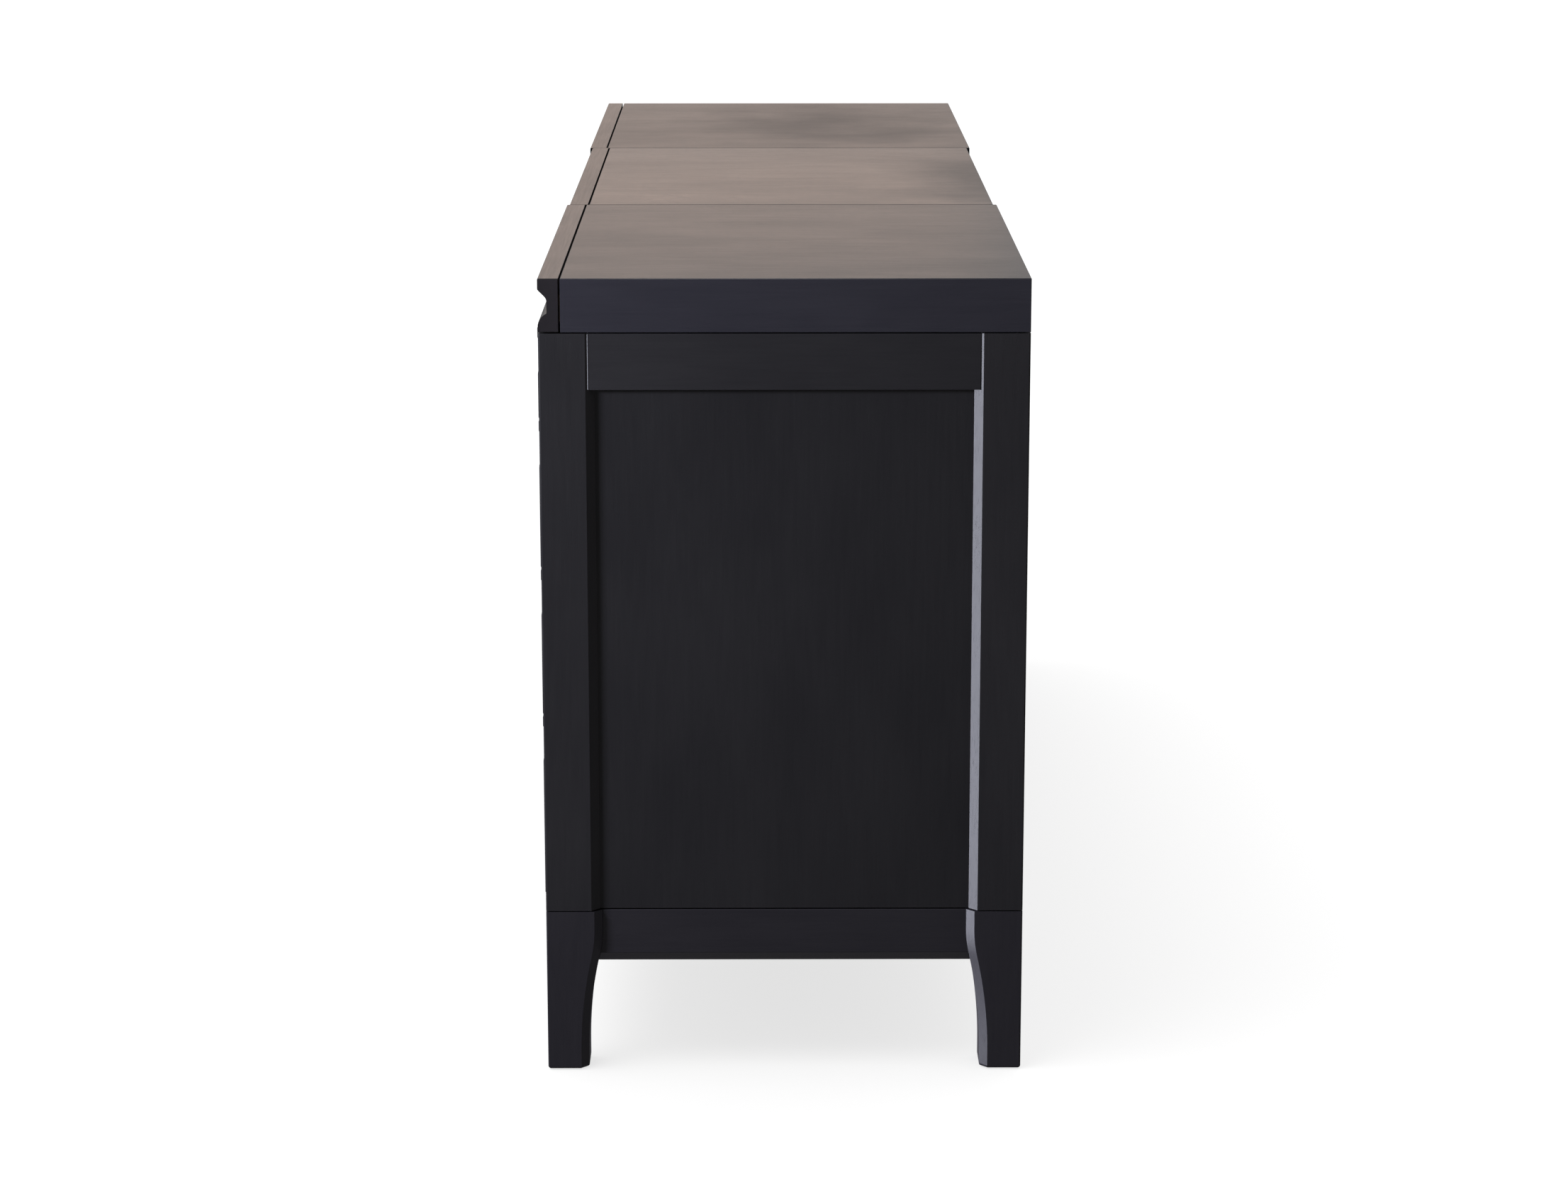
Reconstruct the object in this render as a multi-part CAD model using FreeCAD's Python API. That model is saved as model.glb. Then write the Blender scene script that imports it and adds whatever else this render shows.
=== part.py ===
import FreeCAD, Part
import math
import os

from FreeCAD import Vector

os.makedirs("parts", exist_ok=True)

# A three-bay dresser in black-stained wood: a base of rails on four tapered corner feet, a frame-and-panel
# case with four graduated drawers in each bay, and over each bay a separate top case that holds a shallow
# drawer behind a scooped front. Millimetres; +X to the right, -Y to the front, +Z up, origin on the floor
# under the middle of the overall box.

# ---- Overall sizes -------------------------------------------------------------------------------------
WIDTH = 1830.0
CASE_DEPTH = 510.0            # from the faces of the front posts to the faces of the rear posts
HEIGHT = 861.0
BASE_HEIGHT = 178.5           # floor to the top of the feet and of the base rails
BAND = 56.0                   # height of the top cases and of their scooped fronts
BAY_COUNT = 3

# ---- Gaps and clearances -------------------------------------------------------------------------------
BASE_GAP = 1.2                # shadow line between base and case
BAND_GAP = 1.5                # shadow line between case and top cases
BAY_GAP = 1.2                 # between neighbouring top cases
FRONT_GAP = 2.0               # round the lower drawer fronts
STOP_GAP = 0.3                # between a closed lower front and the rails that stop it
SLIDE_GAP = 0.4               # under a drawer box
SIDE_GAP = 1.5                # each side of a drawer box
KICK_GAP = 4.0                # over a drawer box
TOP_FRONT_GAP = 1.8           # between a scooped top front and its top board
SCREW_GAP = 0.1               # round a screw's shank

# ---- Posts, rails and panels ---------------------------------------------------------------------------
POST = 57.5                   # square section
POST_CHAMFER = 9.0            # on the two show edges that face a panel or a drawer
POST_EASE = 2.0               # radius of the outer corner
POST_PAD_INSET = 10.0         # the pad that carries a post on its foot, in from the post's faces
PANEL_RECESS = POST_CHAMFER   # side panels and base rails lie where the chamfer ends
PANEL_T = 12.0
PANEL_TONGUE = 8.0            # depth of the panel in its grooves
SIDE_RAIL_H = 59.5
SIDE_RAIL_LAP = 2.0           # how far a side rail reaches in under the floor of its top case
SIDE_RAIL_SET_IN = 2.0        # from the posts' faces; the rest of their chamfers shows beside its ends
BACK_T = 8.0
PARTITION_T = 26.0
BOTTOM_T = 18.0
STRETCHER_T = 20.0
STRETCHER_W = 70.0
RAIL_H = 16.0                 # drawer rails and runners
RAIL_W = 22.0
RUNNER_W = 20.0
GUIDE_H = 12.0                # how far a guide stands over its runner

# ---- Base ----------------------------------------------------------------------------------------------
FOOT_STEP = 2.5               # how much wider a foot is than its post
FOOT_END = 44.5               # square section at the floor
FOOT_CHAMFER = 8.5
FOOT_SHOULDER = 20.5          # straight part under the seam
FOOT_KNEE = 30.0              # height of the outward curve
FOOT_ANKLE = 20.0             # straight part over the floor
FOOT_BOTTOM_EASE = 3.5
GLIDE_R = 11.0
GLIDE_T = 3.0
GLIDE_PROUD = 1.0
BASE_RAIL_BOTTOM = 118.0      # height over the floor
BASE_RAIL_T = 24.0
BASE_RAIL_BEVEL = 12.0
BLOCK_LEG = 105.0             # legs of the triangular corner blocks
BLOCK_H = 40.0

# ---- Top cases -----------------------------------------------------------------------------------------
TOP_T = 18.0
TOP_EASE = 1.2
TOP_FLOOR_T = 8.0
TOP_STEP_FRONT = 3.0          # the middle top case is set back at the front
TOP_STEP_BACK = 4.0           # and at the back
TOP_FRONT_T = 21.5

# ---- Drawer fronts and boxes ---------------------------------------------------------------------------
FRONT_T = 22.0
FRONT_PROUD = 4.0             # lower fronts stand out from the posts
FRONT_EASE = 1.5
ROW_SHARES = (5.0, 8.0, 8.0, 10.0)   # graduated rows, from the top down
GROOVE_DEPTH = 9.4
GROOVE_LIP = 10.5             # flat lip over the groove
LIP_R = 3.0                   # nose of the upper lip
COVE_R = 8.0                  # hollow under it
GROOVE_FLOOR = 12.0
OVOLO_H = 14.1                # round lower side of the groove
BOX_SIDE_T = 12.0
BOX_BOTTOM_T = 6.0
BOX_BOTTOM_UP = 6.0           # underside of the bottom over the box's lower edge
BOX_GROOVE = 5.0
BOX_BACK_SPACE = 25.0         # behind a closed lower box
TOP_BOX_SIDE_T = 10.0
TOP_BOX_BACK_SPACE = 45.0
TOP_BOX_BOTTOM_T = 4.0
TOP_BOX_BOTTOM_UP = 1.0
TOP_BOX_GROOVE = 4.0
TOP_KICK_GAP = 2.0

# ---- Screws --------------------------------------------------------------------------------------------
SCREW_R = 2.25
SCREW_HEAD_R = 4.5
SCREW_HEAD_H = 3.0
SCREW_IN_TOP = 5.0            # bite in the floor of a top case
SCREW_IN_BOTTOM = 12.0        # bite in the bottom board
TOP_SCREW_INSET = 120.0       # from a bay's ends
BLOCK_SCREW_AT = 50.0         # from the inner faces of the base rails

# ---- Places that follow --------------------------------------------------------------------------------
X_OUT = WIDTH / 2
Y_FACE = (FRONT_PROUD - CASE_DEPTH) / 2          # front faces of the posts
Y_BACK = (FRONT_PROUD + CASE_DEPTH) / 2          # back faces of the posts
Z_CASE = BASE_HEIGHT + BASE_GAP
Z_TOP_CASE = HEIGHT - BAND                       # lower edge of the band
Z_CASE_TOP = Z_TOP_CASE - BAND_GAP
Y_FRONT = Y_FACE - FRONT_PROUD                   # faces of the lower fronts
Y_FRONT_BACK = Y_FRONT + FRONT_T
Y_RAIL = Y_FRONT_BACK + STOP_GAP
Y_INSIDE_BACK = Y_BACK - PANEL_RECESS - BACK_T
Y_BOX_BACK = Y_INSIDE_BACK - BOX_BACK_SPACE
X_PANEL = X_OUT - PANEL_RECESS - PANEL_T         # inner face of a side panel
X_POST = X_OUT - POST                            # inner face of a post
X_SIDE_RAIL = X_OUT - TOP_T - SIDE_RAIL_LAP      # inner face of a side rail
FOOT_TOP = POST + FOOT_STEP                      # square section of a foot at its top
BAY_W = WIDTH / BAY_COUNT
Z_FLOORBOARD = BASE_HEIGHT + BOTTOM_T
BAYS = ("left", "center", "right")


def box(x0, x1, y0, y1, z0, z1):
    """A box from its two corners, in any order."""
    low = Vector(min(x0, x1), min(y0, y1), min(z0, z1))
    return Part.makeBox(abs(x1 - x0), abs(y1 - y0), abs(z1 - z0), low)


def prism(points, along):
    """A closed outline of Vectors, pushed along a Vector."""
    return Part.Face(Part.makePolygon(points + points[:1])).extrude(along)


def eased(shape, radius, wanted):
    """Rounds the straight edges whose middle point satisfies wanted(point, direction)."""
    edges = []
    for edge in shape.Edges:
        a, b = edge.Vertexes[0].Point, edge.Vertexes[-1].Point
        if wanted((a + b) * 0.5, (b - a).normalize()):
            edges.append(edge)
    return shape.makeFillet(radius, edges)


def save(name, *shapes):
    """Writes one node: a single solid, or a group of separate ones."""
    shape = shapes[0] if len(shapes) == 1 else Part.makeCompound(list(shapes))
    shape.exportStep(os.path.join("parts", name + ".step"))


# ---- Corner pieces are drawn in a corner frame: x and y run inward from the two outer faces ------------
def at_corner(shape, right, back):
    """Moves a piece from the corner frame to one of the four corners."""
    placed = shape.copy()
    if right:
        placed = placed.mirror(Vector(0, 0, 0), Vector(1, 0, 0))
    if back:
        placed = placed.mirror(Vector(0, 0, 0), Vector(0, 1, 0))
    placed.translate(Vector(X_OUT if right else -X_OUT, Y_BACK if back else Y_FACE, 0))
    return placed


def post():
    """Square post with chamfers on its two show edges, an eased outer corner and a pad below."""
    c = POST_CHAMFER
    outline = [(0, 0), (POST - c, 0), (POST, c), (POST, POST), (c, POST), (0, POST - c)]
    body = prism([Vector(x, y, Z_CASE) for x, y in outline], Vector(0, 0, Z_CASE_TOP - Z_CASE))
    body = eased(body, POST_EASE, lambda p, d: abs(d.z) > 0.9 and abs(p.x) + abs(p.y) < 1e-6)
    pad = box(POST_PAD_INSET, POST - POST_PAD_INSET, POST_PAD_INSET, POST - POST_PAD_INSET, BASE_HEIGHT, Z_CASE)
    return body.fuse(pad).removeSplitter()


def foot_side(less):
    """The outline of a foot's inner side, x against z, moved out by -less: straight, S-curve, straight."""
    top, end = FOOT_TOP - less, FOOT_END - less
    z_knee = BASE_HEIGHT - FOOT_SHOULDER
    z_turn = z_knee - FOOT_KNEE
    rise = z_knee - FOOT_ANKLE
    lean = 2 * math.atan((top - end) / rise)     # steepest slope, where the two arcs meet
    knee_r = FOOT_KNEE / math.sin(lean)
    ankle_r = (z_turn - FOOT_ANKLE) / math.sin(lean)
    x_turn = top - knee_r * (1 - math.cos(lean))

    def on_arc(x_centre, z_centre, radius, angle):
        return Vector(x_centre + radius * math.cos(angle), 0, z_centre + radius * math.sin(angle))

    knee_mid = on_arc(top - knee_r, z_knee, knee_r, -lean / 2)
    ankle_mid = on_arc(end + ankle_r, FOOT_ANKLE, ankle_r, math.pi - lean / 2)
    far = -FOOT_TOP
    corners = [Vector(far, 0, BASE_HEIGHT), Vector(top, 0, BASE_HEIGHT), Vector(top, 0, z_knee),
               Vector(x_turn, 0, z_turn), Vector(end, 0, FOOT_ANKLE), Vector(end, 0, GLIDE_PROUD),
               Vector(far, 0, GLIDE_PROUD)]
    edges = [Part.LineSegment(corners[0], corners[1]), Part.LineSegment(corners[1], corners[2]),
             Part.Arc(corners[2], knee_mid, corners[3]), Part.Arc(corners[3], ankle_mid, corners[4]),
             Part.LineSegment(corners[4], corners[5]), Part.LineSegment(corners[5], corners[6]),
             Part.LineSegment(corners[6], corners[0])]
    return Part.Face(Part.Wire([e.toShape() for e in edges]))


def foot():
    """Tapered foot: the same S-curve on both inner sides, and chamfers that follow it."""
    reach = 3 * FOOT_TOP
    side = foot_side(0)
    side.translate(Vector(0, -reach / 2, 0))
    side = side.extrude(Vector(0, reach, 0))
    slant = foot_side(FOOT_CHAMFER)
    slant.translate(Vector(-reach / 2, -reach / 2, 0))
    slant = slant.extrude(Vector(reach, reach, 0))
    body = box(0, FOOT_TOP, 0, FOOT_TOP, GLIDE_PROUD, BASE_HEIGHT)
    swap = FreeCAD.Matrix(0, 1, 0, 0, 1, 0, 0, 0, 0, 0, 1, 0, 0, 0, 0, 1)   # x and y change places
    for cutter in (side, slant):
        body = body.common(cutter)
        body = body.common(cutter.transformGeometry(swap))
    body = eased(body, POST_EASE, lambda p, d: abs(d.z) > 0.9 and abs(p.x) + abs(p.y) < 1e-6)
    bottom = [e for e in body.Edges if all(abs(v.Point.z - GLIDE_PROUD) < 1e-6 for v in e.Vertexes)]
    body = body.makeFillet(FOOT_BOTTOM_EASE, bottom)
    return body.cut(glide())


def glide():
    """Round nylon glide, let into the foot."""
    middle = FOOT_END / 2
    return Part.makeCylinder(GLIDE_R, GLIDE_T, Vector(middle, middle, 0))


def corner_block():
    """Triangular glue block behind the meeting of two base rails and a foot."""
    inner = PANEL_RECESS + BASE_RAIL_T
    z0 = BASE_HEIGHT - BLOCK_H
    outline = [Vector(inner, inner, z0), Vector(inner + BLOCK_LEG, inner, z0), Vector(inner, inner + BLOCK_LEG, z0)]
    return prism(outline, Vector(0, 0, BLOCK_H)).cut(box(0, FOOT_TOP, 0, FOOT_TOP, 0, BASE_HEIGHT))


def corner_name(stem, right, back):
    return "_".join([stem, "rear" if back else "front", "right" if right else "left"])


CORNERS = [(right, back) for right in (False, True) for back in (False, True)]


# ---- Screws stand upright, head down ---------------------------------------------------------------------
def screw(x, y, z_head, length, grow=0.0):
    """Pan-head screw going up from the face at z_head; grow widens it to the hole that takes it."""
    shank = Part.makeCylinder(SCREW_R + grow, length, Vector(x, y, z_head))
    if grow:
        return shank
    head = Part.makeCylinder(SCREW_HEAD_R, SCREW_HEAD_H, Vector(x, y, z_head - SCREW_HEAD_H))
    return head.fuse(shank).removeSplitter()


def block_screws(grow=0.0):
    """Screws through the corner blocks into the bottom board, two to a corner."""
    near = PANEL_RECESS + BASE_RAIL_T + BLOCK_SCREW_AT / 4
    far = PANEL_RECESS + BASE_RAIL_T + BLOCK_SCREW_AT
    made = []
    for right, back in CORNERS:
        for x, y in ((near, far), (far, near)):
            one = screw(x, y, BASE_HEIGHT - BLOCK_H, BLOCK_H + SCREW_IN_BOTTOM, grow)
            made.append(at_corner(one, right, back))
    return made


def top_screws(grow=0.0):
    """Screws through the stretchers into the floors of the top cases, four to a bay."""
    made = []
    z_head = Z_CASE_TOP - STRETCHER_T
    for bay in range(BAY_COUNT):
        x0, x1 = bay_opening(bay)
        for x in (x0 + TOP_SCREW_INSET, x1 - TOP_SCREW_INSET):
            for y in (Y_RAIL + STRETCHER_W / 2, Y_INSIDE_BACK - STRETCHER_W / 2):
                made.append(screw(x, y, z_head, STRETCHER_T + SCREW_IN_TOP, grow))
    return made


# ---- Bays and rows ---------------------------------------------------------------------------------------
def bay_opening(bay):
    """The clear space between the posts and partitions of one bay, left to right."""
    x0 = -X_OUT + bay * BAY_W + (PARTITION_T / 2 if bay else POST)
    x1 = -X_OUT + (bay + 1) * BAY_W - (PARTITION_T / 2 if bay < BAY_COUNT - 1 else POST)
    return x0, x1


def top_case_span(bay):
    """Where one top case begins and ends, left to right and front to back."""
    x0 = -X_OUT + bay * BAY_W + (BAY_GAP / 2 if bay else 0)
    x1 = -X_OUT + (bay + 1) * BAY_W - (BAY_GAP / 2 if bay < BAY_COUNT - 1 else 0)
    middle = 0 < bay < BAY_COUNT - 1
    return x0, x1, Y_FACE + (TOP_STEP_FRONT if middle else 0), Y_BACK - (TOP_STEP_BACK if middle else 0)


def row_seams():
    """Heights where the rows of fronts meet, with the case's top first and its bottom last."""
    seams = [Z_CASE_TOP]
    for share in ROW_SHARES:
        seams.append(seams[-1] - (Z_CASE_TOP - Z_CASE) * share / sum(ROW_SHARES))
    return seams


# ---- Case ------------------------------------------------------------------------------------------------
def side_rail(right):
    """Top rail of a side, a little behind the posts' faces and let into their chamfers."""
    inset = POST - POST_CHAMFER + SIDE_RAIL_SET_IN
    face = X_OUT - SIDE_RAIL_SET_IN
    x, x_in = (face, X_SIDE_RAIL) if right else (-face, -X_SIDE_RAIL)
    return box(x, x_in, Y_FACE + inset, Y_BACK - inset, Z_CASE_TOP - SIDE_RAIL_H, Z_CASE_TOP)


def side_panel(right):
    """Flat panel, held in grooves in the posts and the top rail."""
    inset = POST - PANEL_TONGUE
    x = X_OUT - PANEL_RECESS if right else -X_OUT + PANEL_RECESS
    x_in = x - PANEL_T if right else x + PANEL_T
    z_top = Z_CASE_TOP - SIDE_RAIL_H + PANEL_TONGUE
    return box(x, x_in, Y_FACE + inset, Y_BACK - inset, Z_CASE, z_top)


def bottom_board():
    """Rests on the base and carries the case; notched round the posts."""
    board = box(-X_PANEL, X_PANEL, Y_RAIL, Y_INSIDE_BACK, BASE_HEIGHT, Z_FLOORBOARD)
    for right, back in CORNERS:
        board = board.cut(at_corner(box(0, POST, 0, POST, 0, HEIGHT), right, back))
    for hole in block_screws(SCREW_GAP):
        board = board.cut(hole)
    return board


def stretchers():
    """Flat rails across the top of each bay, front and rear; the top cases are screwed to them."""
    made = []
    for bay in range(BAY_COUNT):
        x0, x1 = bay_opening(bay)
        for y0, y1 in ((Y_RAIL, Y_RAIL + STRETCHER_W), (Y_INSIDE_BACK - STRETCHER_W, Y_INSIDE_BACK)):
            made.append(box(x0, x1, y0, y1, Z_CASE_TOP - STRETCHER_T, Z_CASE_TOP))
    for hole in top_screws(SCREW_GAP):
        made = [piece.cut(hole) for piece in made]
    return made


def drawer_rails():
    """Rails between the rows, behind the fronts, which close against them."""
    made = []
    for seam in row_seams()[1:-1]:
        for bay in range(BAY_COUNT):
            x0, x1 = bay_opening(bay)
            made.append(box(x0, x1, Y_RAIL, Y_RAIL + RAIL_W, seam - RAIL_H / 2, seam + RAIL_H / 2))
    return made


def runners():
    """Strips that carry the drawers at both sides of each bay, and guides along the outer sides."""
    made = []
    y0 = Y_RAIL + RAIL_W
    guide_y = (Y_FACE + POST, Y_BACK - POST)
    for seam in row_seams()[1:-1]:
        z0, z1 = seam - RAIL_H / 2, seam + RAIL_H / 2
        for bay in range(BAY_COUNT):
            x0, x1 = bay_opening(bay)
            made.append(box(x0, x0 + RUNNER_W, y0, Y_INSIDE_BACK, z0, z1))
            made.append(box(x1 - RUNNER_W, x1, y0, Y_INSIDE_BACK, z0, z1))
        for side in (-1, 1):
            made.append(box(side * X_POST, side * X_PANEL, *guide_y, z0, z1 + GUIDE_H))
    for side in (-1, 1):
        made.append(box(side * X_POST, side * X_PANEL, *guide_y, Z_FLOORBOARD, Z_FLOORBOARD + RAIL_H + GUIDE_H))
    return made


def back_panels():
    """One panel to a bay, between the rear posts, meeting behind the partitions."""
    edges = [-X_POST] + [-X_OUT + bay * BAY_W for bay in range(1, BAY_COUNT)] + [X_POST]
    return [box(x0, x1, Y_INSIDE_BACK, Y_INSIDE_BACK + BACK_T, Z_CASE, Z_CASE_TOP)
            for x0, x1 in zip(edges, edges[1:])]


# ---- Base ------------------------------------------------------------------------------------------------
def base_rail(length):
    """Rail along x with a bevelled lower front edge; its face is at y = 0."""
    z0, z1 = BASE_RAIL_BOTTOM, BASE_HEIGHT
    b = BASE_RAIL_BEVEL
    outline = [(0, z1), (0, z0 + b), (b, z0), (BASE_RAIL_T, z0), (BASE_RAIL_T, z1)]
    return prism([Vector(-length / 2, y, z) for y, z in outline], Vector(length, 0, 0))


def base_rails(feet):
    """Two long rails and two end rails, fitted to the feet."""
    inset = PANEL_RECESS
    span_x, span_y = WIDTH - 2 * FOOT_END, CASE_DEPTH - 2 * FOOT_END
    y_mid = (Y_FACE + Y_BACK) / 2
    made = []
    for turn, x, y, length in ((0, 0, Y_FACE + inset, span_x), (180, 0, Y_BACK - inset, span_x),
                               (90, X_OUT - inset, y_mid, span_y), (270, inset - X_OUT, y_mid, span_y)):
        rail = base_rail(length)
        rail.rotate(Vector(0, 0, 0), Vector(0, 0, 1), turn)
        rail.translate(Vector(x, y, 0))
        for leg in feet:
            rail = rail.cut(leg)
        made.append(rail)
    return made[:2], made[2:]


# ---- Top cases -------------------------------------------------------------------------------------------
def top_case(bay):
    """A top board mitred to two cheeks and a back, over a thin floor."""
    x0, x1, y_face, y1 = top_case_span(bay)
    y0 = y_face + TOP_FRONT_T + TOP_FRONT_GAP
    t = TOP_T
    block = box(x0, x1, y0, y1, Z_TOP_CASE, HEIGHT)
    block = eased(block, TOP_EASE, lambda p, d: abs(p.z - HEIGHT) < 1e-6 or (abs(d.z) > 0.9 and p.y > 0))
    hollow = box(x0 + t, x1 - t, y0, y1 - t, Z_TOP_CASE, HEIGHT - t)
    shell = block.cut(hollow)

    def mitred(x, x_in):
        points = [(x, Z_TOP_CASE), (x_in, Z_TOP_CASE), (x_in, HEIGHT - t), (x, HEIGHT)]
        return prism([Vector(a, y0, b) for a, b in points], Vector(0, y1 - y0, 0))

    back_points = [(y1, Z_TOP_CASE), (y1 - t, Z_TOP_CASE), (y1 - t, HEIGHT - t), (y1, HEIGHT)]
    back_zone = prism([Vector(x0, a, b) for a, b in back_points], Vector(x1 - x0, 0, 0))
    cheek_zones = [mitred(x0, x0 + t), mitred(x1, x1 - t)]
    board = shell.cut(back_zone)
    back = shell.common(back_zone)
    cheeks = []
    for zone in cheek_zones:
        board = board.cut(zone)
        back = back.cut(zone)
        cheeks.append(shell.common(zone))
    floor = box(x0 + t, x1 - t, y0, y1 - t, Z_CASE_TOP, Z_CASE_TOP + TOP_FLOOR_T)
    for hole in top_screws(SCREW_GAP):
        floor = floor.cut(hole)
    return board, cheeks + [back, floor]


# ---- Drawers ---------------------------------------------------------------------------------------------
def scooped_front(x0, x1, y_face, z0, z1, thickness):
    """A drawer front whose face has a long finger groove under its upper lip."""
    slope = math.pi / 4
    cut = 1 - math.cos(slope)
    z_lip = z1 - GROOVE_LIP
    nose_end = (LIP_R * cut, z_lip - LIP_R * math.sin(slope))
    run = GROOVE_DEPTH - (LIP_R + COVE_R) * cut          # depth of the straight part at 45 degrees
    cove_start = (nose_end[0] + run, nose_end[1] - run)
    cove_end = (GROOVE_DEPTH, cove_start[1] - COVE_R * math.sin(slope))
    floor_end = (GROOVE_DEPTH, cove_end[1] - GROOVE_FLOOR)
    z_round = floor_end[1] - OVOLO_H
    round_r = (GROOVE_DEPTH ** 2 + OVOLO_H ** 2) / (2 * GROOVE_DEPTH)
    half = math.asin(OVOLO_H / round_r) / 2

    def at(depth, z):
        return Vector(x0, y_face + depth, z)

    nose_mid = at(LIP_R * (1 - math.cos(slope / 2)), z_lip - LIP_R * math.sin(slope / 2))
    cove_mid = at(GROOVE_DEPTH - COVE_R * (1 - math.cos(slope / 2)), cove_end[1] + COVE_R * math.sin(slope / 2))
    round_mid = at(round_r * (1 - math.cos(half)), z_round + round_r * math.sin(half))
    points = [at(0, z1), at(0, z_lip), at(*nose_end), at(*cove_start), at(*cove_end), at(*floor_end),
              at(0, z_round), at(0, z0), at(thickness, z0), at(thickness, z1)]
    middles = {1: nose_mid, 3: cove_mid, 5: round_mid}
    edges = []
    for i, start in enumerate(points):
        end = points[(i + 1) % len(points)]
        edges.append(Part.Arc(start, middles[i], end) if i in middles else Part.LineSegment(start, end))
    front = Part.Face(Part.Wire([e.toShape() for e in edges])).extrude(Vector(x1 - x0, 0, 0))
    corners = (z0, z1)
    return eased(front, FRONT_EASE, lambda p, d: abs(d.x) > 0.9 and abs(p.y - y_face) < 1e-6
                 and min(abs(p.z - z) for z in corners) < 1e-6)


def drawer_box(x0, x1, y0, y1, z0, z1, side_t, bottom_t, bottom_up, groove):
    """Two sides, a front, a back and a bottom that is held in grooves, as separate boards."""
    bottom = box(x0 + side_t - groove, x1 - side_t + groove, y0 + side_t - groove, y1 - side_t + groove,
                 z0 + bottom_up, z0 + bottom_up + bottom_t)
    boards = [box(x0, x0 + side_t, y0, y1, z0, z1), box(x1 - side_t, x1, y0, y1, z0, z1),
              box(x0 + side_t, x1 - side_t, y0, y0 + side_t, z0, z1),
              box(x0 + side_t, x1 - side_t, y1 - side_t, y1, z0, z1)]
    return [board.cut(bottom) for board in boards] + [bottom]


def lower_drawer(bay, row):
    """Front and box of one of the graduated drawers; row 0 is the top one."""
    seams = row_seams()
    last = len(ROW_SHARES) - 1
    x0, x1 = bay_opening(bay)
    z0 = seams[row + 1] + (FRONT_GAP if row == last else FRONT_GAP / 2)
    z1 = seams[row] - (FRONT_GAP / 2 if row else FRONT_GAP)
    front = scooped_front(x0 + FRONT_GAP, x1 - FRONT_GAP, Y_FRONT, z0, z1, FRONT_T)
    slide_z = Z_FLOORBOARD if row == last else seams[row + 1] + RAIL_H / 2
    kick_z = seams[row] - RAIL_H / 2 if row else Z_CASE_TOP - STRETCHER_T
    boards = drawer_box(x0 + SIDE_GAP, x1 - SIDE_GAP, Y_FRONT_BACK, Y_BOX_BACK, slide_z + SLIDE_GAP,
                        kick_z - KICK_GAP, BOX_SIDE_T, BOX_BOTTOM_T, BOX_BOTTOM_UP, BOX_GROOVE)
    return front, boards


def top_drawer(bay):
    """Front and box of the shallow drawer in a top case; it slides on the case's floor."""
    x0, x1, y_face, y1 = top_case_span(bay)
    front = scooped_front(x0, x1, y_face, Z_TOP_CASE, HEIGHT, TOP_FRONT_T)
    inner = TOP_T + SIDE_GAP
    boards = drawer_box(x0 + inner, x1 - inner, y_face + TOP_FRONT_T, y1 - TOP_T - TOP_BOX_BACK_SPACE,
                        Z_CASE_TOP + TOP_FLOOR_T + SLIDE_GAP, HEIGHT - TOP_T - TOP_KICK_GAP,
                        TOP_BOX_SIDE_T, TOP_BOX_BOTTOM_T, TOP_BOX_BOTTOM_UP, TOP_BOX_GROOVE)
    return front, boards


# ---- Everything, written out -----------------------------------------------------------------------------
def main():
    feet = []
    blocks = []
    glides = []
    for right, back in CORNERS:
        feet.append(at_corner(foot(), right, back))
        save(corner_name("foot", right, back), feet[-1])
        blocks.append(at_corner(corner_block(), right, back))
        glides.append(at_corner(glide(), right, back))
    save("foot_glides", *glides)
    long_rails, end_rails = base_rails(feet)
    save("base_long_rails", *long_rails)
    save("base_end_rails", *end_rails)
    for hole in block_screws(SCREW_GAP):
        blocks = [block.cut(hole) for block in blocks]
    save("base_corner_blocks", *blocks)

    panels = {right: side_panel(right) for right in (False, True)}
    rails = {right: side_rail(right) for right in (False, True)}
    for right, side in ((False, "left"), (True, "right")):
        save("side_panel_" + side, panels[right])
        save("side_top_rail_" + side, rails[right].cut(panels[right]))
    for right, back in CORNERS:
        standing = at_corner(post(), right, back).cut(panels[right]).cut(rails[right])
        save(corner_name("post", right, back), standing)

    board = bottom_board()
    save("bottom_board", board)
    for bay, side in ((1, "left"), (2, "right")):
        x = -X_OUT + bay * BAY_W
        wall = box(x - PARTITION_T / 2, x + PARTITION_T / 2, Y_FACE, Y_INSIDE_BACK, Z_CASE, Z_CASE_TOP)
        save("partition_" + side, wall.cut(board))
    save("back_panels", *back_panels())
    save("top_stretchers", *stretchers())
    save("drawer_rails", *drawer_rails())
    save("drawer_runners", *runners())
    save("case_screws", *block_screws(), *top_screws())

    for bay, side in enumerate(BAYS):
        top, frame = top_case(bay)
        save("top_board_" + side, top)
        save("top_case_" + side, *frame)
        front, boards = top_drawer(bay)
        save("top_drawer_front_" + side, front)
        save("top_drawer_box_" + side, *boards)
        for row in range(len(ROW_SHARES)):
            front, boards = lower_drawer(bay, row)
            name = "drawer_{}_" + side + "_" + str(row + 1)
            save(name.format("front"), front)
            save(name.format("box"), *boards)


main()
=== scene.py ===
import math

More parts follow.
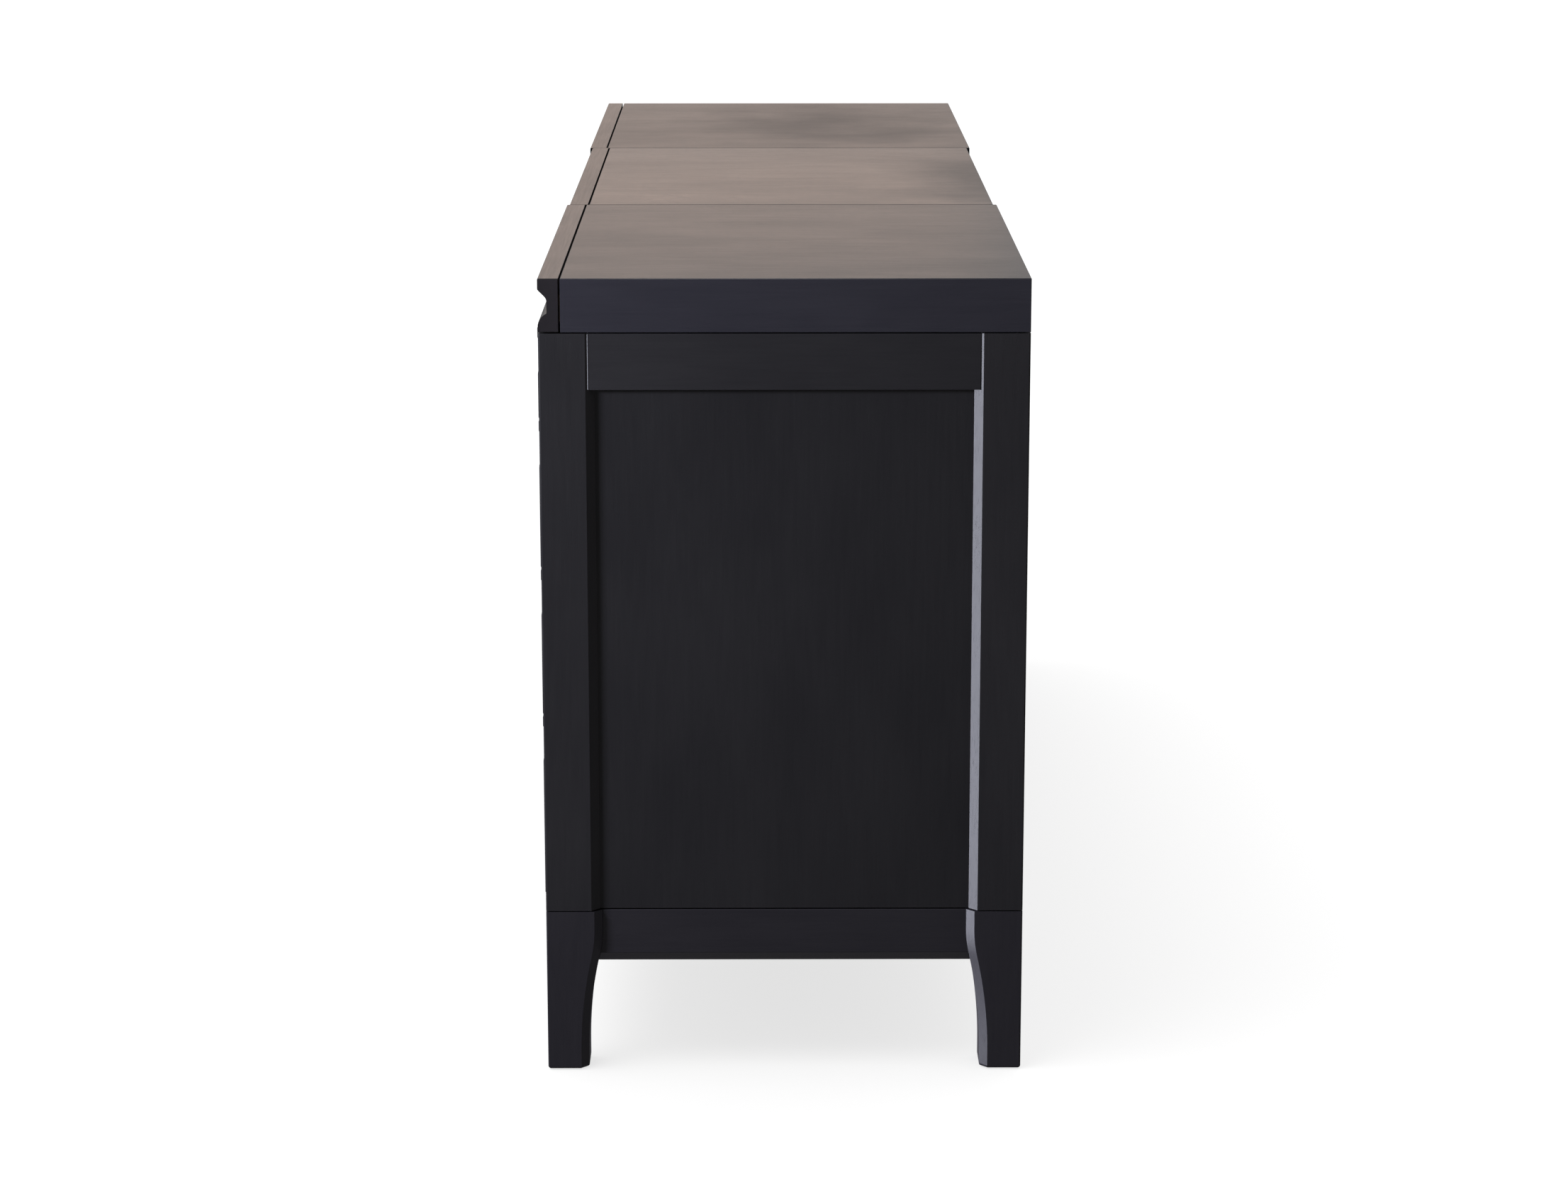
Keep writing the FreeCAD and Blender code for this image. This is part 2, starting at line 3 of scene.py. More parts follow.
import bmesh
import bpy
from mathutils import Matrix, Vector


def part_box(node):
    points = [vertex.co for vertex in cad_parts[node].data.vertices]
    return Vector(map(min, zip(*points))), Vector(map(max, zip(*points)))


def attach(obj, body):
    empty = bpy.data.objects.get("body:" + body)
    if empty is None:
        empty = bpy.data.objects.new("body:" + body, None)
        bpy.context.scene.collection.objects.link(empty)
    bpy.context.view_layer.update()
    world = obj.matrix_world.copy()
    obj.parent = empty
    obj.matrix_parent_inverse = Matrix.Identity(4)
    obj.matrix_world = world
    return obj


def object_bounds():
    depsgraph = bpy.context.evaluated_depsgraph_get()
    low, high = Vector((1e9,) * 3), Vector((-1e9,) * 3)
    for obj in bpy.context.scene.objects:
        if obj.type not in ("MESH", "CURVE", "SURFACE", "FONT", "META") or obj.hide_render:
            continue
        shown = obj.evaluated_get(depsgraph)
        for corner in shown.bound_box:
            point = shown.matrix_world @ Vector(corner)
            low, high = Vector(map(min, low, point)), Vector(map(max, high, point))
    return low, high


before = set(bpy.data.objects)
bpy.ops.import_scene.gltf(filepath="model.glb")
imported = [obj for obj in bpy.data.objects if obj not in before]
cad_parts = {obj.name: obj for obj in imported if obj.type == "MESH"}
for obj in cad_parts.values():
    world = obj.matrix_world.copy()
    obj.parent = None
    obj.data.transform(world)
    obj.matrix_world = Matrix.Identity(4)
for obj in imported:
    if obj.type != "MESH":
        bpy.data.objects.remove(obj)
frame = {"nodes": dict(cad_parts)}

# The looks of a three-bay dresser in black-stained, satin-lacquered wood. Metres, +Z up; the drawer fronts
# face -Y and the camera looks along -X at the right-hand end. Everything is placed from the frame.

CAD_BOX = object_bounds()
BAYS = ("left", "center", "right")
ROWS = (1, 2, 3, 4)
MM = 0.001

# ---- Stain, lacquer and wood -----------------------------------------------------------------------------
STAIN_DARK, STAIN_LIGHT = (0.0074, 0.0070, 0.0080), (0.0096, 0.0090, 0.0100)
CASE_PAINTED_LIGHT = (1.30, 1.32, 1.60)           # painted light: lighter, bluer copies of the black stain on the top cases and on the base, for the brighter light those parts show against the rest
BASE_PAINTED_LIGHT = (1.20, 1.16, 1.28)
UNDER_DARK, UNDER_LIGHT = (0.010, 0.009, 0.008), (0.020, 0.017, 0.015)
TOP_ROUGHNESS = (0.355, 0.305, 0.355)    # the three top boards took their lacquer a little differently
TOP_DULL = (                             # a duller patch on each board: its middle and half widths
    ((-0.64, 0.06, 0.861), (0.30, 0.19, 1.0)),
    ((0.02, 0.26, 0.861), (0.30, 0.13, 1.0)),
    None,
)
DULLER = 0.10                            # how much rougher the middle of such a patch is
DRAWER_DARK, DRAWER_LIGHT = (0.32, 0.205, 0.11), (0.49, 0.355, 0.225)
SWAY = (0.9, 0.10)                       # sizes along and across the grain: waves in the rings,
CLOUD = (0.20, 0.09)                     # clouds in the stain,
FIBRE = (0.075, 0.0022)                  # fibres
PORE = (0.012, 0.00055)                  # and pores
RING_TURNS = 95.0                        # how far the rings' sine turns over the whole sway, in radians

# ---- Camera --------------------------------------------------------------------------------------------
CAMERA_AT = Vector((4.7847, -0.0171, 1.4211))
CAMERA_DOWN = math.radians(12.92)
CAMERA_TURN = math.radians(-0.276)       # off the -X direction, towards +Y
LENS = 86.87

# ---- Studio --------------------------------------------------------------------------------------------
OVERHEAD = (1.0, 1.0, 1.0)
HORIZON = (0.39, 0.38, 0.38)
BELOW = (0.15, 0.15, 0.16)               # seen only in reflections; the floor hides it otherwise
SKY_STOPS = ((0.480, BELOW), (0.495, HORIZON), (0.80, OVERHEAD))    # 0 is straight down, 1 straight up
FRONT_SKY, REAR_SKY = 1.25, 0.92         # strength of the dome towards the front and the back
FRONTAL = (-0.8, 0.8)                    # it changes from one to the other over these y of a direction
FAR_SKY, NEAR_SKY = 1.0, 0.30            # a factor on that, towards -X and towards +X
SIDEWAYS = (-0.2, 0.7)                   # it changes over these x of a direction
FLOOR_GLOW = 0.73                        # the floor shines a little by itself
FLOOR_RADIUS = 90.0
FLOOR_FADE = (20.0, 70.0)                # the paper darkens between these distances
FLOOR_SUN = 1.05                         # falls on the floor alone and draws the dresser's soft shadow
SUN_WIDTH = math.radians(38)
KEY, STRIP, GLOW, END_FILL, EDGE_LIGHT = 108.0, 28.0, 5.0, 8.0, 16.0    # watts

# ---- Details that CAD leaves out -----------------------------------------------------------------------
EDGE = 0.7 * MM                          # eased edges of solid wood
POST_EDGE, RAIL_EDGE = 1.0 * MM, 1.3 * MM    # wider on the posts and on the side rails, where they glint
BOX_EDGE = 1.2 * MM                      # softer edges of the drawer boxes
SCREW_EDGE, GLIDE_EDGE = 0.2 * MM, 0.4 * MM
WELD = 0.02 * MM
CURVED = math.radians(35)                # facets of a rounded surface meet at less than this
FLUSH = 0.12 * MM                        # how far an inlaid end grain stands over its board
SUNK = 0.3 * MM                          # how deep inlays and screw heads reach into what they sit on
SIDE, TOP_SIDE = 12 * MM, 10 * MM        # sides of the lower and of the top drawer boxes
PIN, PIN_PITCH = 4.5 * MM, 23 * MM       # dovetail pins at their narrow ends
PIN_SLOPE = math.radians(10)
HEAD_R, HEAD_H = 4.0 * MM, 2.4 * MM      # pan-head screws
HEAD_ARM, HEAD_SLOT = 2.1 * MM, 0.55 * MM    # their cross recess: reach and half width of its arms
HEAD_TURN = 2.4                          # each screw came to rest this much further round than the last
TALL_BOX = 100 * MM                      # boxes at least this tall have two rows of front screws
SEAM_SCREW = 6 * MM                      # screws beside a seam of the back


# ---- Small helpers -------------------------------------------------------------------------------------
def bay_nodes(stem):
    """The names of a stem's three nodes, one to a bay."""
    return [stem + "_" + bay for bay in BAYS]


def new_object(name, mesh, material, body):
    """A finished piece: named, with its material, riding on its CAD body."""
    piece = bpy.data.objects.new(name, mesh)
    bpy.context.scene.collection.objects.link(piece)
    mesh.materials.append(material)
    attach(piece, body)
    return piece


class Graph:
    """A node material under construction."""

    def __init__(self, name):
        self.material = bpy.data.materials.new(name)
        self.material.use_nodes = True
        self.tree = self.material.node_tree
        self.tree.nodes.clear()

    def add(self, kind, inputs=None, **settings):
        """Adds a node; inputs maps a socket's name or number to a value or to another node's output."""
        node = self.tree.nodes.new("ShaderNode" + kind)
        for name, value in settings.items():
            setattr(node, name, value)
        for key, value in (inputs or {}).items():
            if isinstance(value, bpy.types.NodeSocket):
                self.tree.links.new(value, node.inputs[key])
            else:
                node.inputs[key].default_value = value
        return node

    def math(self, operation, first, second=0.0):
        return self.add("Math", {0: first, 1: second}, operation=operation).outputs[0]

    def noise(self, vector, scale, detail=2.0, distortion=0.0):
        inputs = {"Vector": vector, "Scale": scale, "Detail": detail, "Distortion": distortion}
        return self.add("TexNoise", inputs).outputs[0]

    def remap(self, value, low, high, to_low, to_high):
        inputs = {0: value, 1: low, 2: high, 3: to_low, 4: to_high}
        return self.add("MapRange", inputs).outputs[0]

    def mix(self, factor, dark, light):
        """A colour between two colours or colour sockets."""
        node = self.add("Mix", {0: factor}, data_type="RGBA")
        for key, value in ((6, dark), (7, light)):
            if isinstance(value, bpy.types.NodeSocket):
                self.tree.links.new(value, node.inputs[key])
            else:
                node.inputs[key].default_value = (*value, 1.0)
        return node.outputs[2]

    def choose(self, factor, first, second):
        """A vector that is first where factor is 0 and second where it is 1."""
        return self.add("Mix", {0: factor, 4: first, 5: second}, data_type="VECTOR").outputs[1]

    def bump(self, height, distance):
        return self.add("Bump", {"Height": height, "Distance": distance, "Strength": 1.0}).outputs[0]

    def finish(self, color, roughness, normal=None, specular=0.5, **more):
        """Closes the graph with a principled shader; more are constants on its own sockets."""
        inputs = {"Base Color": color, "Roughness": roughness, "Specular IOR Level": specular}
        if normal:
            inputs["Normal"] = normal
        inputs.update({name.replace("_", " "): value for name, value in more.items()})
        shader = self.add("BsdfPrincipled", inputs)
        self.add("OutputMaterial", {0: shader.outputs[0]})
        return self.material


# ---- Wood ----------------------------------------------------------------------------------------------
def grain_space(graph, along):
    """Coordinates whose first axis runs with the grain.

    along is x, y or z for one board; "case" turns it with the sides of a top case; a pair of depths in y
    is a drawer box, where the boards at the front and back run across the others."""
    position = graph.add("TexCoord").outputs["Object"]
    x, y, z = graph.add("SeparateXYZ", {0: position}).outputs

    def turned(first, second, third):
        return graph.add("CombineXYZ", {0: first, 1: second, 2: third}).outputs[0]

    if along in ("x", "y", "z"):
        order = {"x": (x, y, z), "y": (y, x, z), "z": (z, x, y)}[along]
        return turned(*order)
    nx, ny, _ = graph.add("SeparateXYZ", {0: graph.add("TexCoord").outputs["Normal"]}).outputs
    faces_y = graph.math("GREATER_THAN", graph.math("ABSOLUTE", ny), 0.7)
    if along == "case":
        return graph.choose(faces_y, turned(y, x, z), turned(x, y, z))
    front, back = along
    near = graph.math("LESS_THAN", y, front)
    far = graph.math("GREATER_THAN", y, back)
    at_end = graph.math("MAXIMUM", near, far)
    faces_x = graph.math("GREATER_THAN", graph.math("ABSOLUTE", nx), 0.7)
    end_face = graph.math("MULTIPLY", at_end, graph.math("SUBTRACT", 1.0, faces_x))
    across = graph.math("MAXIMUM", faces_y, end_face)
    return graph.choose(across, turned(y, x, z), turned(x, y, z))


def dull_patch(graph, middle, reach):
    """1 in the middle of a soft, uneven oval of the given half widths, and 0 outside it."""
    position = graph.add("TexCoord").outputs["Object"]
    offset = graph.add("VectorMath", {0: position, 1: middle}, operation="SUBTRACT").outputs[0]
    scaled = graph.add("VectorMath", {0: offset, 1: reach}, operation="DIVIDE").outputs[0]
    away = graph.add("VectorMath", {0: scaled}, operation="LENGTH").outputs["Value"]
    uneven = graph.math("ADD", away, graph.remap(graph.noise(position, 9.0, 3.0), 0.3, 0.7, -0.25, 0.25))
    return graph.remap(uneven, 0.15, 1.1, 1.0, 0.0)


def wood(name, along, dark, light, roughness, specular, figure=0.5, pores=0.04, mottle=0.0, dull=None):
    """Wood with growth rings, fibres and short pores under a lacquer.

    figure is how strongly the rings show, pores how deep the pores are in millimetres, mottle how much of
    the shade is soft clouds in the stain instead of grain, and dull the middle and the half widths of a
    patch where the lacquer shines less."""
    graph = Graph(name)
    space = grain_space(graph, along)

    def stretched(length, width):
        """Space scaled so that one unit is length along the grain and width across it."""
        return graph.add("Mapping", {0: space, 3: (1 / length, 1 / width, 1 / width)}).outputs[0]

    sway = graph.noise(stretched(*SWAY), 1.0, 3.0, 0.3)
    rings = graph.math("SINE", graph.math("MULTIPLY", sway, RING_TURNS))
    fibre = graph.noise(stretched(*FIBRE), 1.0, 4.0)
    pore = graph.noise(stretched(*PORE), 1.0, 1.0)
    pore_mask = graph.remap(pore, 0.60, 0.74, 0.0, 1.0)
    cloud = graph.noise(stretched(*CLOUD), 1.0, 4.0, 0.3)

    ring_shade = graph.math("MULTIPLY", graph.remap(rings, -1.0, 1.0, 0.0, 1.0), figure)
    fibre_shade = graph.remap(fibre, 0.3, 0.7, 0.0, 1.0)
    shade = graph.math("ADD", ring_shade, graph.math("MULTIPLY", fibre_shade, 1.0 - figure))
    shade = graph.math("SUBTRACT", shade, graph.math("MULTIPLY", pore_mask, 0.35))
    if mottle:
        stain = graph.remap(cloud, 0.3, 0.7, 0.0, mottle)
        shade = graph.math("ADD", graph.math("MULTIPLY", shade, 1.0 - mottle), stain)
    color = graph.mix(shade, dark, light)

    rough = graph.remap(cloud, 0.25, 0.75, roughness - 0.025, roughness + 0.025)
    rough = graph.math("ADD", rough, graph.remap(fibre, 0.3, 0.7, -0.02, 0.02))
    if dull:
        rough = graph.math("ADD", rough, graph.math("MULTIPLY", dull_patch(graph, *dull), DULLER))
    height = graph.math("SUBTRACT", graph.math("MULTIPLY", fibre_shade, 0.25), pore_mask)
    normal = graph.bump(height, pores * MM)
    return graph.finish(color, rough, normal, specular)


def black_wood(name, along, roughness=0.34, light_painted_in=(1.0, 1.0, 1.0), dull=None):
    """Black stain under satin lacquer; the grain only just shows. Scaling the stain up gives lighter, bluer
    copies of it, which are painted light.
    """
    dark = [a * b for a, b in zip(STAIN_DARK, light_painted_in)]
    light = [a * b for a, b in zip(STAIN_LIGHT, light_painted_in)]
    return wood(name, along, dark, light, roughness, specular=0.25, figure=0.35, mottle=0.6, dull=dull)


def end_grain(name, dark, light):
    """The ends of fibres: a fine speckle over curved rings."""
    graph = Graph(name)
    position = graph.add("TexCoord").outputs["Object"]
    rings = graph.math("SINE", graph.math("MULTIPLY", graph.noise(position, 16.0, 1.0), 70.0))
    speckle = graph.noise(position, 2400.0, 2.0)
    ring_shade = graph.remap(rings, -1.0, 1.0, 0.0, 0.5)
    shade = graph.math("ADD", ring_shade, graph.remap(speckle, 0.3, 0.7, 0.0, 0.5))
    rough = graph.remap(speckle, 0.3, 0.7, 0.5, 0.62)
    return graph.finish(graph.mix(shade, dark, light), rough, graph.bump(speckle, 0.03 * MM), 0.4)


def zinc(name):
    """Zinc-plated steel with fine turning marks and a faint yellow bloom."""
    graph = Graph(name)
    position = graph.add("TexCoord").outputs["Object"]
    bloom = graph.noise(position, 160.0, 3.0)
    marks = graph.noise(position, 5200.0, 2.0)
    color = graph.mix(bloom, (0.50, 0.48, 0.43), (0.66, 0.66, 0.65))
    rough = graph.remap(marks, 0.3, 0.7, 0.26, 0.42)
    return graph.finish(color, rough, graph.bump(marks, 0.01 * MM), 0.5, Metallic=1.0)


def nylon(name):
    """Dark moulded nylon, scuffed by the floor."""
    graph = Graph(name)
    position = graph.add("TexCoord").outputs["Object"]
    drawn_out = graph.add("Mapping", {0: position, 3: (60.0, 900.0, 60.0)}).outputs[0]
    scuffs = graph.noise(drawn_out, 1.0, 3.0)
    worn = graph.remap(scuffs, 0.55, 0.8, 0.0, 1.0)
    color = graph.mix(worn, (0.018, 0.018, 0.018), (0.07, 0.07, 0.068))
    rough = graph.remap(scuffs, 0.3, 0.7, 0.42, 0.6)
    return graph.finish(color, rough, graph.bump(scuffs, 0.02 * MM), 0.5)


# ---- CAD nodes: eased edges and materials --------------------------------------------------------------
def make_tidy_group():
    """Geometry nodes that weld a CAD mesh and shade it by the angles between its faces."""
    tree = bpy.data.node_groups.new("weld_and_shade", "GeometryNodeTree")
    tree.interface.new_socket("Geometry", in_out="INPUT", socket_type="NodeSocketGeometry")
    tree.interface.new_socket("Geometry", in_out="OUTPUT", socket_type="NodeSocketGeometry")
    nodes, links = tree.nodes, tree.links
    start = nodes.new("NodeGroupInput")
    end = nodes.new("NodeGroupOutput")
    strip = nodes.new("GeometryNodeRemoveAttribute")
    strip.inputs["Name"].default_value = "custom_normal"
    weld = nodes.new("GeometryNodeMergeByDistance")
    weld.inputs["Distance"].default_value = WELD
    smooth = nodes.new("GeometryNodeSetShadeSmooth")
    smooth.domain = "FACE"
    angle = nodes.new("GeometryNodeInputMeshEdgeAngle")
    curved = nodes.new("FunctionNodeCompare")
    curved.operation = "LESS_THAN"
    curved.inputs["B"].default_value = CURVED
    creases = nodes.new("GeometryNodeSetShadeSmooth")
    creases.domain = "EDGE"
    links.new(start.outputs[0], strip.inputs["Geometry"])
    links.new(strip.outputs[0], weld.inputs["Geometry"])
    links.new(weld.outputs[0], smooth.inputs["Geometry"])
    links.new(smooth.outputs[0], creases.inputs["Geometry"])
    links.new(angle.outputs["Unsigned Angle"], curved.inputs["A"])
    links.new(curved.outputs[0], creases.inputs["Shade Smooth"])
    links.new(creases.outputs[0], end.inputs[0])
    return tree


TIDY = make_tidy_group()


def ease(node, width):
    """Rounds the hard edges of a CAD node by width, with modifiers only."""
    tidy = node.modifiers.new("weld_and_shade", "NODES")
    tidy.node_group = TIDY
    if not width:
        return
    flat = node.modifiers.new("join_flat_faces", "DECIMATE")
    flat.decimate_type = "DISSOLVE"
    flat.angle_limit = math.radians(0.05)
    bevel = node.modifiers.new("eased_edges", "BEVEL")
    bevel.limit_method = "ANGLE"
    bevel.angle_limit = CURVED
    bevel.width = width
    bevel.segments = 3
    shade = node.modifiers.new("flat_faces_stay_flat", "WEIGHTED_NORMAL")
    shade.keep_sharp = False


def dress(names, material, width=EDGE):
    """Gives CAD nodes their material and eased edges."""
    for name in names:
        node = frame["nodes"][name]
        for slot in node.material_slots:
            slot.material = material
        ease(node, width)


def dress_frame_nodes():
    """Every CAD node, by what it is made of and how its grain runs."""
    upright, lengthwise, crosswise = [black_wood("black_wood_" + along, along) for along in ("z", "x", "y")]
    nodes = frame["nodes"]
    corners = [end + "_" + side for end in ("front", "rear") for side in ("left", "right")]
    dress(["post_" + corner for corner in corners], upright, POST_EDGE)
    # painted light: the feet and the base rails below take a lighter, bluer copy of the stain
    dress(["foot_" + corner for corner in corners], black_wood("foot_wood_painted_light", "z", light_painted_in=BASE_PAINTED_LIGHT))
    dress(["side_panel_left", "side_panel_right", "partition_left", "partition_right"], upright)
    dress(["side_top_rail_left", "side_top_rail_right"], crosswise, RAIL_EDGE)
    dress(["base_end_rails"], black_wood("base_wood_painted_light_y", "y", light_painted_in=BASE_PAINTED_LIGHT))
    dress(["base_long_rails"], black_wood("base_wood_painted_light_x", "x", light_painted_in=BASE_PAINTED_LIGHT))
    for bay, roughness, dull in zip(BAYS, TOP_ROUGHNESS, TOP_DULL):
        dress(["top_board_" + bay], black_wood("top_wood_" + bay, "y", roughness, dull=dull), 0)
    # painted light: the top cases take a lighter, bluer copy of the stain
    dress(bay_nodes("top_case"), black_wood("case_wood_painted_light", "case", light_painted_in=CASE_PAINTED_LIGHT), 0)
    dress([name for name in nodes if "drawer_front" in name], lengthwise)

    under = wood("frame_wood", "x", UNDER_DARK, UNDER_LIGHT, 0.55, 0.3, pores=0.08)
    dress(["bottom_board", "top_stretchers", "drawer_rails"], under)
    blocks = wood("block_wood", "y", UNDER_DARK, UNDER_LIGHT, 0.6, 0.3, pores=0.08)
    dress(["base_corner_blocks"], blocks)
    veneer = wood("back_veneer", "z", (0.0085, 0.0082, 0.0085), (0.016, 0.015, 0.015), 0.5, 0.3, pores=0.05)
    dress(["back_panels"], veneer)
    waxed = wood("runner_wood", "y", (0.33, 0.20, 0.10), (0.52, 0.36, 0.21), 0.42, 0.45, figure=0.6)
    dress(["drawer_runners"], waxed)
    dress(["case_screws"], zinc("zinc_screws"), SCREW_EDGE)
    dress(["foot_glides"], nylon("glide_nylon"), GLIDE_EDGE)

    for name in [name for name in nodes if "drawer_box" in name]:
        low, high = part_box(name)
        side = TOP_SIDE if name.startswith("top") else SIDE
        material = drawer_wood(low.y + side, high.y - side)
        dress([name], material, BOX_EDGE)


def drawer_wood(front, back):
    """Pale lacquered wood of the drawer boxes, one material for each length of box."""
    name = "drawer_wood_{:.0f}_{:.0f}".format(front / MM, back / MM)
    known = bpy.data.materials.get(name)
    if known:
        return known
    return wood(name, (front, back), DRAWER_DARK, DRAWER_LIGHT, 0.40, 0.45, figure=0.6, pores=0.05)


# ---- Small pieces that ride on the drawers and the back --------------------------------------------------
def plate(form, corners, outward):
    """A thin closed plate over a flat outline, let into the surface and a hair proud of it."""
    under = [form.verts.new(corner - outward * SUNK) for corner in corners]
    over = [form.verts.new(corner + outward * FLUSH) for corner in corners]
    form.faces.new(under)
    form.faces.new(over)
    for i, low in enumerate(under):
        j = (i + 1) % len(under)
        form.faces.new((low, under[j], over[j], over[i]))


def pin_middles(low, high):
    """Heights of the dovetail pins of a corner, with half a pin at its lower and upper edge."""
    count = max(2, round((high.z - low.z) / PIN_PITCH))
    return [low.z + (high.z - low.z) * i / count for i in range(count + 1)]


def dovetails(drawer, box_name, side, material):
    """The end grain that shows at a drawer box's corners: pins on the sides, tails on the back."""
    low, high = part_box(box_name)
    middles = pin_middles(low, high)
    flare = side * math.tan(PIN_SLOPE)
    form = bmesh.new()

    def clipped(z):
        return min(max(z, low.z + BOX_EDGE), high.z - BOX_EDGE)

    for x, outward in ((low.x, Vector((-1, 0, 0))), (high.x, Vector((1, 0, 0)))):
        for y_end, inward in ((low.y, 1), (high.y, -1)):
            for middle in middles:
                outline = []
                for depth, half in ((BOX_EDGE, PIN / 2), (side, PIN / 2 + flare)):
                    ends = (middle - half, middle + half)
                    if outline:
                        ends = ends[::-1]
                    outline += [Vector((x, y_end + inward * depth, clipped(z))) for z in ends]
                plate(form, outline, outward)
        x_in = x - outward.x * side
        x_edge = x - outward.x * BOX_EDGE
        for below, above in zip(middles, middles[1:]):
            z0, z1 = clipped(below + PIN / 2), clipped(above - PIN / 2)
            around = ((x_edge, z0), (x_in, z0), (x_in, z1), (x_edge, z1))
            outline = [Vector((a, high.y, z)) for a, z in around]
            plate(form, outline, Vector((0, 1, 0)))
    bmesh.ops.recalc_face_normals(form, faces=form.faces)
    mesh = bpy.data.meshes.new("dovetails")
    form.to_mesh(mesh)
    form.free()
    return new_object("dovetails_" + drawer, mesh, material, drawer)


def screw_head(form, at, turn):
    """A pan head with a cross recess, facing +Y on the surface at its place."""
    arm = math.atan(HEAD_SLOT / HEAD_ARM)
    quarter = math.pi / 2
    halfway = (arm + quarter / 2) / 2
    steps = (0.0, arm, halfway, quarter / 2, quarter - halfway, quarter - arm)
    angles = [q * quarter + step for q in range(4) for step in steps]

    def cross(angle):
        """Distance from the middle to the recess's rim."""
        off = abs((angle + quarter / 2) % quarter - quarter / 2)
        return HEAD_ARM / math.cos(off) if off <= arm + 1e-6 else HEAD_SLOT / math.sin(off)

    def dome(radius):
        return HEAD_H * (1 - 0.45 * (radius / HEAD_R) ** 3)

    floor = HEAD_H * 0.3
    shapes = [
        (lambda a: 0.7 * cross(a), lambda r: floor),
        (cross, dome),
        (lambda a: HEAD_R * 0.72, dome),
        (lambda a: HEAD_R * 0.92, dome),
        (lambda a: HEAD_R, lambda r: HEAD_H * 0.3),
        (lambda a: HEAD_R, lambda r: -SUNK),
    ]
    rings = []
    for radius, height in shapes:
        ring = []
        for angle in angles:
            r = radius(angle)
            offset = Vector((r * math.cos(angle + turn), height(r), r * math.sin(angle + turn)))
            ring.append(form.verts.new(at + offset))
        rings.append(ring)
    form.faces.new(rings[0])
    form.faces.new(rings[-1])
    for inner, outer in zip(rings, rings[1:]):
        for i in range(len(angles)):
            j = (i + 1) % len(angles)
            form.faces.new((inner[i], inner[j], outer[j], outer[i]))


def screws(name, places, body, material):
    """Screw heads at the given places, as one piece; each is turned as it came to rest."""
    form = bmesh.new()
    for number, place in enumerate(places):
        screw_head(form, place, HEAD_TURN * number)
    bmesh.ops.recalc_face_normals(form, faces=form.faces)
    for face in form.faces:
        face.smooth = True
    mesh = bpy.data.meshes.new(name)
    form.to_mesh(mesh)
    form.free()
    mesh.set_sharp_from_angle(angle=CURVED)
    return new_object(name, mesh, material, body)


def front_screw_places(box_name, side):
    """Screws inside a drawer that hold its front to its box: in a row, or in two where it is tall."""
    low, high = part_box(box_name)
    middle, tall = (low.z + high.z) / 2, high.z - low.z
    heights = (middle,) if tall < TALL_BOX else (low.z + 0.3 * tall, high.z - 0.25 * tall)
    across = [low.x + share * (high.x - low.x) for share in (0.15, 0.38, 0.62, 0.85)]
    return [Vector((x, low.y + side, z)) for z in heights for x in across]


def back_screw_places():
    """Screws of the back panels: into the stretchers, the bottom board, the partitions and the runners."""
    low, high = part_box("back_panels")
    seams = [low.x]
    for wall in ("partition_left", "partition_right"):
        left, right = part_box(wall)
        seams.append((left.x + right.x) / 2)
    seams.append(high.x)
    places = []
    for board in ("top_stretchers", "bottom_board"):
        below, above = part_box(board)
        for start, end in zip(seams, seams[1:]):
            for share in (0.12, 0.37, 0.63, 0.88):
                x = start + (end - start) * share
                places.append(Vector((x, high.y, (below.z + above.z) / 2)))
    for row in ROWS[1:]:
        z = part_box("drawer_front_left_" + str(row))[1].z
        for seam in seams:
            for x in (seam - SEAM_SCREW, seam + SEAM_SCREW):
                if low.x < x < high.x:
                    places.append(Vector((x, high.y, z)))
    return places


def make_small_pieces():
    """Dovetails and screws that have no CAD node of their own."""
    pale = end_grain("drawer_end_grain", (0.22, 0.13, 0.065), (0.40, 0.26, 0.145))
    steel = zinc("zinc_heads")
    pieces = [screws("back_panel_screws", back_screw_places(), "case", steel)]
    for bay in BAYS:
        drawers = [("top_drawer_" + bay, "top_drawer_box_" + bay, TOP_SIDE)]
        for row in ROWS:
            place = "{}_{}".format(bay, row)
            drawers.append(("drawer_" + place, "drawer_box_" + place, SIDE))
        for drawer, box_name, side in drawers:
            pieces.append(dovetails(drawer, box_name, side, pale))
            places = front_screw_places(box_name, side)
            pieces.append(screws("front_screws_" + drawer, places, drawer, steel))
    return pieces


# ---- The scene: camera, floor and light ----------------------------------------------------------------
def make_camera():
    data = bpy.data.cameras.new("camera")
    data.lens = LENS
    data.sensor_width = 36.0
    camera = bpy.data.objects.new("camera", data)
    flat = math.cos(CAMERA_DOWN)
    looks = Vector((
        -math.cos(CAMERA_TURN) * flat,
        -math.sin(CAMERA_TURN) * flat,
        -math.sin(CAMERA_DOWN),
    ))
    camera.location = CAMERA_AT
    camera.rotation_mode = "QUATERNION"
    camera.rotation_quaternion = looks.to_track_quat("-Z", "Y")
    bpy.context.scene.collection.objects.link(camera)
    bpy.context.scene.camera = camera


